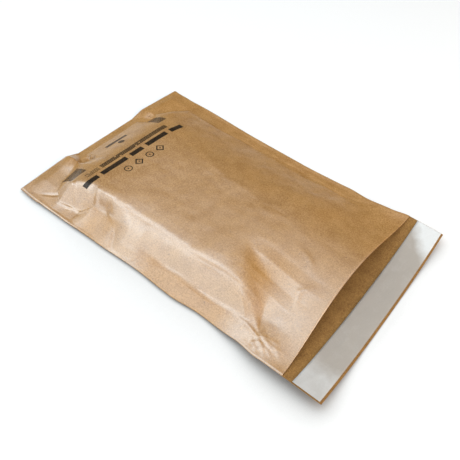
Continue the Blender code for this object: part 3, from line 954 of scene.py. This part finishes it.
class Print:
    """Plain shapes printed on the front panel, gathered as one mask over its sheet coordinates."""

    def __init__(self, tree):
        self.tree = tree
        sheet = tree.nodes.new("ShaderNodeUVMap")
        sheet.uv_map = "sheet"
        x, self.y, _ = tree.axes(sheet.outputs["UV"])
        self.x = tree.minus(x, tree.times(self.y, PRINT_SLANT))
        self.mask = 0.0

    def inside(self, distance, reach):
        """1 where the distance is under the reach, with an edge as soft as ink's."""
        return self.tree.spread(distance, reach - INK_EDGE, reach + INK_EDGE, 1, 0)

    def add(self, shape, ink=1.0):
        self.mask = self.tree.maths("MAXIMUM", self.mask, self.tree.times(shape, ink))

    def box(self, x, y, width, length):
        along_it = self.inside(self.tree.apart(self.x, x), width / 2)
        across = self.inside(self.tree.apart(self.y, y), length / 2)
        return self.tree.times(along_it, across)

    def small_lines(self, x, y, width, length, line_share, inked_share):
        """A block of thin lines across the bag, with random pieces of them left out."""
        tree = self.tree
        turns = tree.maths("DIVIDE", self.x, LINE_PITCH)
        gap = tree.times(tree.apart(tree.maths("FRACT", turns), 0.5), LINE_PITCH)
        lines = self.inside(gap, LINE_PITCH * line_share / 2)
        piece = tree.maths("FLOOR", tree.maths("DIVIDE", self.y, PIECE_LENGTH))
        line = tree.maths("FLOOR", turns)
        both = tree.add("CombineXYZ", {"X": piece, "Y": line})
        random = tree.nodes.new("ShaderNodeTexWhiteNoise")
        random.noise_dimensions = "2D"
        tree.feed(random.inputs["Vector"], both.outputs[0])
        inked = tree.maths("LESS_THAN", random.outputs["Value"], inked_share)
        self.add(tree.times(tree.times(lines, inked), self.box(x, y, width, length)))

    def circle(self, x, y, radius):
        return self.inside(self.tree.distance(self.x, self.y, (x, y)), radius)

    def diamond(self, x, y, reach):
        distance = self.tree.plus(self.tree.apart(self.x, x), self.tree.apart(self.y, y))
        return self.inside(distance, reach)

    def outline(self, outer, inner):
        return self.tree.maths("SUBTRACT", outer, inner, limit=True)


def printed_shapes(tree):
    """Bars, blocks of thin lines, a row of plain signs, and a bar with a dot."""
    ink = Print(tree)
    for start, end in HEADLINE:
        ink.add(ink.box(HEADLINE_PLACE, (start + end) / 2, HEADLINE_WIDTH, end - start))
    for block in SMALL_PRINT:
        ink.small_lines(*block)
    for place, y in enumerate(SIGNS):
        if place % 2:
            sign = ink.outline(ink.diamond(SIGN_PLACE, y, DIAMOND_REACH),
                               ink.diamond(SIGN_PLACE, y, DIAMOND_HOLLOW))
        else:
            sign = ink.outline(ink.circle(SIGN_PLACE, y, RING_RADIUS),
                               ink.circle(SIGN_PLACE, y, RING_RADIUS - SIGN_LINE))
        ink.add(sign)
        ink.add(ink.circle(SIGN_PLACE, y, SIGN_DOT))
    ink.add(ink.box(MARK_PLACE, MARK_MIDDLE, MARK_WIDTH, MARK_LENGTH), MARK_INK)
    ink.add(ink.circle(MARK_DOT_PLACE, MARK_MIDDLE, MARK_DOT), MARK_INK)
    return ink.mask


def paper_colour(tree, span, dark, light, specks):
    """The paper's grain, and its colour between dark and light with its specks."""
    grain, speck = paper_grain(tree)
    colour = tree.mix(tree.spread(grain, *span), dark, light)
    return grain, tree.mix(tree.times(speck, specks), colour, SPECK_COLOUR)


def kraft_outside(name, printed):
    """Machine-glazed brown kraft, with the print where it is asked for."""
    tree = Tree(bpy.data.materials.new(name))
    grain, colour = paper_colour(tree, OUTSIDE_SPAN, KRAFT_DARK, KRAFT_LIGHT, SPECKS_OUTSIDE)
    glazed = WORN_GLAZE
    if printed:
        ink = tree.times(printed_shapes(tree), tree.spread(grain, *WORN_INK_SPAN, 1, WORN_INK))
        colour = tree.mix(ink, colour, INK_COLOUR)
        glazed = tree.times(glaze(tree), tree.spread(ink, 0, 1, 1, INK_GLAZE))
    tree.look("Base Color", colour)
    tree.look("Roughness", tree.spread(grain, *GLOSS_SPAN, *OUTSIDE_ROUGHNESS))
    tree.look("Specular IOR Level", PAPER_SPECULAR)
    tree.look("Coat Weight", glazed)
    tree.look("Coat Roughness", GLAZE_ROUGHNESS)
    tree.look("Coat IOR", GLAZE_IOR)
    tree.bump(grain, OUTSIDE_RELIEF)
    return tree.owner


def kraft_inside():
    """The matt side of the same paper."""
    tree = Tree(bpy.data.materials.new("kraft_inside"))
    grain, colour = paper_colour(tree, INSIDE_SPAN, INSIDE_DARK, INSIDE_LIGHT, SPECKS_INSIDE)
    tree.look("Base Color", colour)
    tree.look("Roughness", INSIDE_ROUGHNESS)
    tree.bump(grain, INSIDE_RELIEF)
    return tree.owner


def liner_paper():
    """White siliconed paper, warmer and darker in its middle where the glue under it shows through and
    where a shadow of the raised mouth is painted, and with painted shade at its near end.
    """
    tree = Tree(bpy.data.materials.new("liner_paper"))
    place = tree.place()
    x, y, _ = tree.axes(place)
    far_edge = tree.plus(tree.times(tree.minus(LENGTH / 2, x), SHADOW_EDGE_LEAN), GLUE_AND_SHADOW_FAR_EDGE)
    cloud = tree.noise(place, LINER_CLOUD_SIZE, 3)
    fine = tree.noise(place, LINER_FINE_SIZE, 3, 0.6)
    tone = tree.plus(tree.times(cloud, LINER_CLOUD_SHARE), tree.times(fine, 1 - LINER_CLOUD_SHARE))
    wave = tree.spread(cloud, *NOISE_SPAN, -GLUE_AND_SHADOW_WAVE, GLUE_AND_SHADOW_WAVE)
    beyond_far = tree.plus(tree.minus(y, far_edge), wave)
    beyond_near = tree.plus(tree.minus(GLUE_AND_SHADOW_NEAR_EDGE, y), wave)
    far_end = tree.spread(beyond_far, -GLUE_AND_SHADOW_SOFTNESS, GLUE_AND_SHADOW_SOFTNESS)
    near_end = tree.spread(beyond_near, -GLUE_AND_SHADOW_SOFTNESS, GLUE_AND_SHADOW_SOFTNESS, 0, NEAR_END_SHADED_TONE)
    # Painted shade: the middle takes the glue's darker colour out to the edges of the mouth's shadow,
    # and the near end stays greyer
    whiteness = tree.maths("ADD", tree.maths("MAXIMUM", far_end, near_end),
                           tree.spread(tone, *LINER_SPAN, *LINER_TONES), limit=True)
    tree.look("Base Color", tree.mix(whiteness, LINER_GLUE_AND_SHADOW, LINER_END))
    tree.look("Roughness", tree.spread(tone, *LINER_SPAN, *LINER_ROUGHNESS))
    wrinkles = tree.noise(tree.stretched(place, WRINKLE_SCALE), WRINKLE_SIZE, 2)
    tree.bump(tree.plus(wrinkles, tree.times(fine, WRINKLE_FINE)), WRINKLE_DEPTH)
    return tree.owner


def hot_melt_glue():
    """Milky glue with the streaks that its rollers leave."""
    tree = Tree(bpy.data.materials.new("hot_melt_glue"))
    streaks = tree.noise(tree.stretched(tree.place(), STREAK_SCALE), STREAK_SIZE, 2)
    tree.look("Base Color", tree.mix(streaks, GLUE_DARK, GLUE_LIGHT))
    tree.look("Roughness", tree.spread(streaks, *NOISE_SPAN, *GLUE_ROUGHNESS))
    tree.bump(streaks, STREAK_DEPTH)
    return tree.owner


# The stage

def make_floor():
    """A pale floor, softly shaded beside the bag and brighter to the camera."""
    bpy.ops.mesh.primitive_plane_add(size=FLOOR_SIDE, location=(0, 0, -FLOOR_DEPTH))
    floor = bpy.context.object
    floor.name = "floor"
    tree = Tree(bpy.data.materials.new("pale_floor"))
    tree.look("Roughness", FLOOR_ROUGHNESS)
    tree.look("Specular IOR Level", PAPER_SPECULAR)
    rays = tree.add("LightPath", {}).outputs
    seen = tree.maths("MAXIMUM", rays["Is Camera Ray"], rays["Is Glossy Ray"])
    seen = tree.maths("MAXIMUM", seen, rays["Is Transmission Ray"])
    side = tree.add("CombineXYZ", dict(zip("XYZ", Vector(SHADE_SIDE).normalized())))
    shade = tree.add("AmbientOcclusion", {"Distance": SHADE_REACH, "Normal": side.outputs[0]})
    shade.samples = SHADE_SAMPLES
    unshaded = tree.spread(shade.outputs["AO"], 0, 1, 1 - SHADE_DEPTH, 1)
    tree.look("Base Color", tree.mix(unshaded, BLACK, FLOOR_COLOUR))
    tree.look("Emission Color", tree.mix(unshaded, BLACK, WHITE))
    tree.look("Emission Strength", tree.times(seen, FLOOR_GLOW))
    floor.data.materials.append(tree.owner)


def make_lamp(name, direction, sides, watts, colour):
    """A square lamp that faces the middle of the bag from a direction."""
    lamp = bpy.data.lights.new(name, "AREA")
    lamp.shape = "RECTANGLE"
    lamp.size, lamp.size_y = sides
    lamp.energy = watts
    lamp.color = colour
    holder = bpy.data.objects.new(name, lamp)
    direction = Vector(direction).normalized()
    holder.location = direction * LAMP_DISTANCE
    holder.rotation_euler = direction.to_track_quat("Z", "Y").to_euler()
    bpy.context.scene.collection.objects.link(holder)


def make_sky():
    """A plain sky, cooler and brighter overhead, and low down brighter on the near side."""
    world = bpy.data.worlds.new("studio")
    bpy.context.scene.world = world
    tree = Tree(world, "Background")
    _, y, z = tree.axes(tree.add("TexCoord", {}).outputs["Generated"])
    overhead = tree.spread(z, ZENITH_EDGE, 1)
    low_light = tree.spread(y, -1, 1, NEAR_HORIZON_LIGHT, FAR_HORIZON_LIGHT)
    tree.look("Color", tree.mix(overhead, HORIZON_TINT, ZENITH_TINT))
    tree.look("Strength", tree.spread(overhead, 0, 1, low_light, ZENITH_LIGHT))


def make_camera():
    """The photo's camera: its place, its axes and its focal length."""
    camera = bpy.data.cameras.new("camera")
    camera.sensor_width = SENSOR
    camera.lens = FOCAL_PIXELS / PHOTO_SIDE * SENSOR
    camera.clip_start = 0.01
    holder = bpy.data.objects.new("camera", camera)
    axes = Matrix((CAMERA_RIGHT, -CAMERA_DOWN, -CAMERA_FORWARD)).transposed()
    holder.matrix_world = Matrix.Translation(CAMERA_PLACE) @ axes.to_4x4()
    bpy.context.scene.collection.objects.link(holder)
    bpy.context.scene.camera = holder


def dress(piece, node, materials):
    """Puts a piece in the place of a node, with its materials."""
    for material in materials:
        piece.data.materials.append(material)
    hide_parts(node)
    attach(piece, "root")


make_camera()
make_floor()
make_sky()
for lamp in LAMPS:
    make_lamp(*lamp)
bpy.context.scene.view_settings.view_transform = "Standard"

inside = kraft_inside()
dress(make_bag(), "paper_bag", [kraft_outside("kraft_printed", printed=True), inside,
                                               kraft_outside("kraft_bare", printed=False), inside])
liner_start = LENGTH - LINER_MARGIN - LINER_WIDTH
glue_start = liner_start + (LINER_WIDTH - GLUE_WIDTH) / 2
glue = make_strip("glue_band", glue_start, GLUE_WIDTH, LINER_SIDE + GLUE_SIDE, CLEARANCE,
                  GLUE_THICKNESS)
dress(glue, "adhesive_strip", [hot_melt_glue()] * 2)
liner = make_strip("liner_strip", liner_start, LINER_WIDTH, LINER_SIDE,
                   CLEARANCE + GLUE_THICKNESS + CLEARANCE, LINER_PAPER)
dress(liner, "release_liner", [liner_paper()] * 2)
